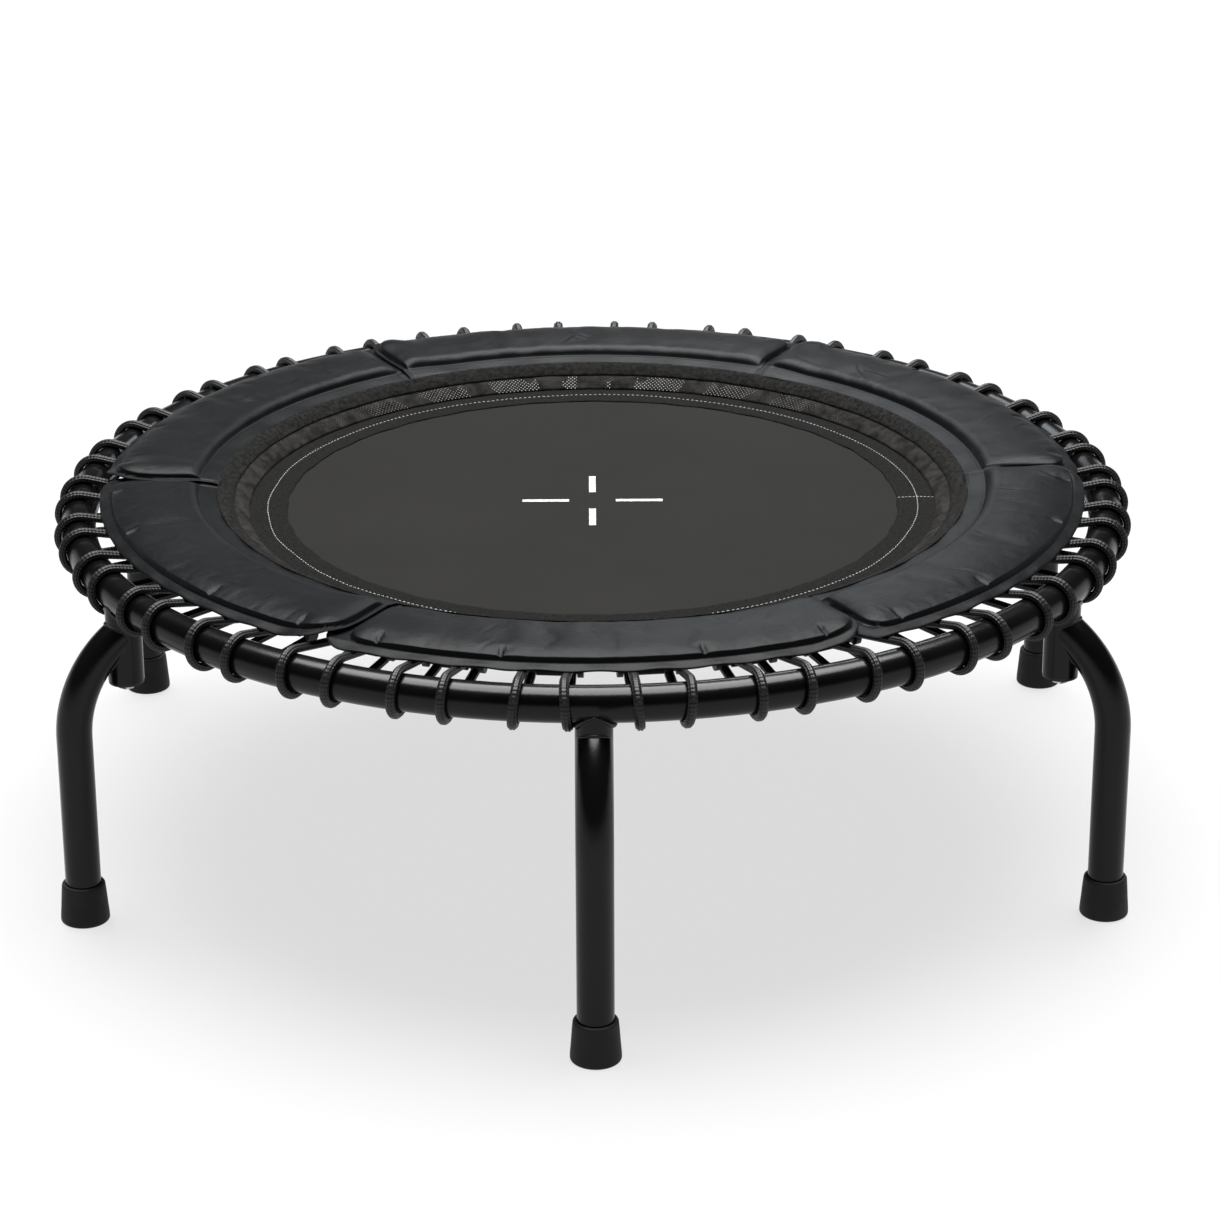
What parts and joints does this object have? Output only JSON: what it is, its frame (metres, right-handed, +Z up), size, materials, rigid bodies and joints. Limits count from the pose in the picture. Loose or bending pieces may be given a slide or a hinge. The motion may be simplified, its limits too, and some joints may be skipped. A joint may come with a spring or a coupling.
{
  "type": "mini trampoline",
  "caption": "Round mini trampoline: woven mat on looped elastic cords in a steel ring with arched legs and a padded skirt.",
  "frame": {"origin": "on the floor, at the centre of the ring", "axes": "+Z up; +Y away from leg 1, so legs 1 and 4 stand on the Y axis; +X between legs"},
  "size_m": [1.0056, 1.108, 0.334],
  "materials": {
    "black_powder_coat": "satin black powder coat",
    "zinc_steel": "bright zinc plate",
    "black_plastic": "moulded, fine grain",
    "rough_tape": "coarse woven tape",
    "netting": "open knitted netting",
    "woven_mat": "tight polypropylene weave",
    "binding_tape": "ribbed binding tape with white lockstitch",
    "webbing": "ribbed webbing",
    "black_rubber": "matte moulded rubber",
    "pad_fabric": "coated woven fabric, soft sheen",
    "backing_fabric": "woven backing cloth",
    "foam": "open-cell foam",
    "elastic_cord": "braided ribbed sheath"
  },
  "bodies": {
    "frame": {"frame_ring": "black_powder_coat", "leg_spigots": "black_powder_coat", "spigot_nuts": "zinc_steel", "leg_bolts": "zinc_steel", "leg_washers": "black_plastic", "leg_1": "black_powder_coat", "leg_2": "black_powder_coat", "leg_3": "black_powder_coat", "leg_4": "black_powder_coat", "leg_5": "black_powder_coat", "leg_6": "black_powder_coat", "leg_sleeve_1": "black_powder_coat", "leg_sleeve_2": "black_powder_coat", "leg_sleeve_3": "black_powder_coat", "leg_sleeve_4": "black_powder_coat", "leg_sleeve_5": "black_powder_coat", "leg_sleeve_6": "black_powder_coat", "foot_1": "black_rubber", "foot_2": "black_rubber", "foot_3": "black_rubber", "foot_4": "black_rubber", "foot_5": "black_rubber", "foot_6": "black_rubber", "pad_cover_1": "pad_fabric", "pad_cover_2": "pad_fabric", "pad_cover_3": "pad_fabric", "pad_cover_4": "pad_fabric", "pad_cover_5": "pad_fabric", "pad_cover_6": "pad_fabric", "pad_foam_1": "foam", "pad_foam_2": "foam", "pad_foam_3": "foam", "pad_foam_4": "foam", "pad_foam_5": "foam", "pad_foam_6": "foam", "pad_backing_1": "backing_fabric", "pad_backing_2": "backing_fabric", "pad_backing_3": "backing_fabric", "pad_backing_4": "backing_fabric", "pad_backing_5": "backing_fabric", "pad_backing_6": "backing_fabric", "skirt_band": "rough_tape", "skirt_mesh": "netting", "elastic_cords_1": "elastic_cord", "elastic_cords_2": "elastic_cord", "elastic_cords_3": "elastic_cord", "elastic_cords_4": "elastic_cord", "elastic_cords_5": "elastic_cord", "elastic_cords_6": "elastic_cord"},
    "jump_mat": {"mat": "woven_mat", "mat_border": "binding_tape", "mat_tabs": "webbing", "cord_toggles": "black_plastic"}
  },
  "joints": [
    {"name": "mat_bounce", "type": "slide", "parent": "frame", "child": "jump_mat", "axis": [0, 0, 1], "range_m": [-0.1, 0], "stiffness_N_per_m": 7000, "springref_m": 0.002, "deforming": ["elastic_cords_1", "elastic_cords_2", "elastic_cords_3", "elastic_cords_4", "elastic_cords_5", "elastic_cords_6", "skirt_mesh", "skirt_band"]}
  ]
}
